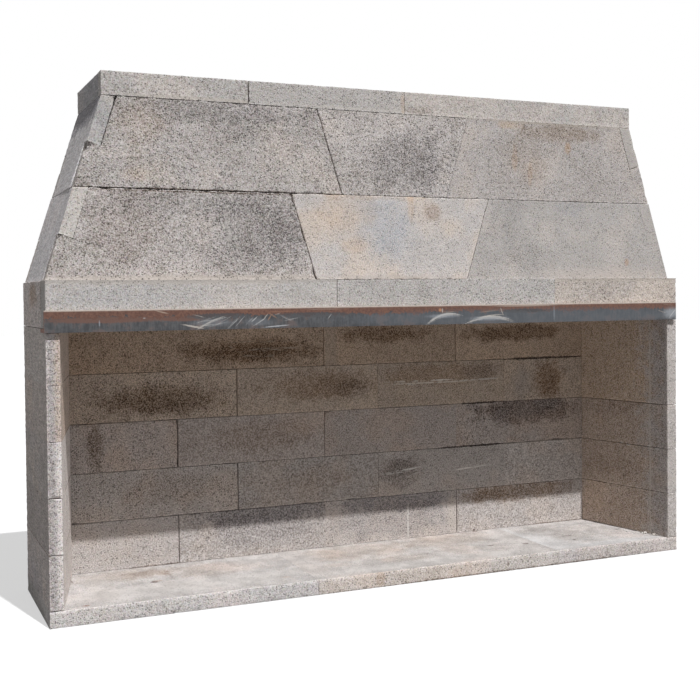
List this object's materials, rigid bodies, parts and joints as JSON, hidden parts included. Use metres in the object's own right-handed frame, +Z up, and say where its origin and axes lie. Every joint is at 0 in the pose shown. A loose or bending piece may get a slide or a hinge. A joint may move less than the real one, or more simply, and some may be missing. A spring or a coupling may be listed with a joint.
{
  "type": "modular pumice concrete fireplace",
  "caption": "Wide dry-stacked fireplace of lightweight concrete blocks: base slabs, open firebox with splayed sides, steel angle lintel, tapering hood and flue collar.",
  "frame": {"origin": "on the floor, under the middle of the part's own box", "axes": "+Z up, -Y out of the open front, +X to the right as seen from the front"},
  "size_m": [2.643, 0.5702, 1.892],
  "materials": {
    "pumice_base": "matte, pitted",
    "pumice_side": "matte, pitted",
    "pumice_back": "matte, soot stained",
    "pumice_band": "matte, smooth cast",
    "pumice_hood": "matte, pitted",
    "pumice_collar": "matte, pitted",
    "lintel_steel": "mill scale with rust"
  },
  "bodies": {
    "root": {"base_slab_left": "pumice_base", "base_slab_middle": "pumice_base", "base_slab_right": "pumice_base", "side_left_course_1": "pumice_side", "side_left_course_2": "pumice_side", "side_left_course_3": "pumice_side", "side_left_course_4": "pumice_side", "side_left_course_5": "pumice_side", "side_left_course_6": "pumice_side", "side_right_course_1": "pumice_side", "side_right_course_2": "pumice_side", "side_right_course_3": "pumice_side", "side_right_course_4": "pumice_side", "side_right_course_5": "pumice_side", "side_right_course_6": "pumice_side", "back_course_1_block_1": "pumice_back", "back_course_1_block_2": "pumice_back", "back_course_1_block_3": "pumice_back", "back_course_1_block_4": "pumice_back", "back_course_2_block_1": "pumice_back", "back_course_2_block_2": "pumice_back", "back_course_2_block_3": "pumice_back", "back_course_2_block_4": "pumice_back", "back_course_3_block_1": "pumice_back", "back_course_3_block_2": "pumice_back", "back_course_3_block_3": "pumice_back", "back_course_3_block_4": "pumice_back", "back_course_4_block_1": "pumice_back", "back_course_4_block_2": "pumice_back", "back_course_4_block_3": "pumice_back", "back_course_4_block_4": "pumice_back", "back_course_5_block_1": "pumice_back", "back_course_5_block_2": "pumice_back", "back_course_5_block_3": "pumice_back", "back_course_5_block_4": "pumice_back", "back_course_6": "pumice_back", "lintel_angle": "lintel_steel", "front_band_left": "pumice_band", "front_band_middle": "pumice_band", "front_band_right": "pumice_band", "hood_lower_front_left": "pumice_hood", "hood_lower_front_keystone": "pumice_hood", "hood_lower_front_right": "pumice_hood", "hood_lower_side_left": "pumice_hood", "hood_lower_side_right": "pumice_hood", "hood_lower_back": "pumice_hood", "hood_upper_front_left": "pumice_hood", "hood_upper_front_keystone": "pumice_hood", "hood_upper_front_right": "pumice_hood", "hood_upper_side_left": "pumice_hood", "hood_upper_side_right": "pumice_hood", "hood_upper_back": "pumice_hood", "collar_front_left": "pumice_collar", "collar_front_middle": "pumice_collar", "collar_front_right": "pumice_collar", "collar_side_left": "pumice_collar", "collar_side_right": "pumice_collar", "collar_back": "pumice_collar"}
  },
  "joints": []
}
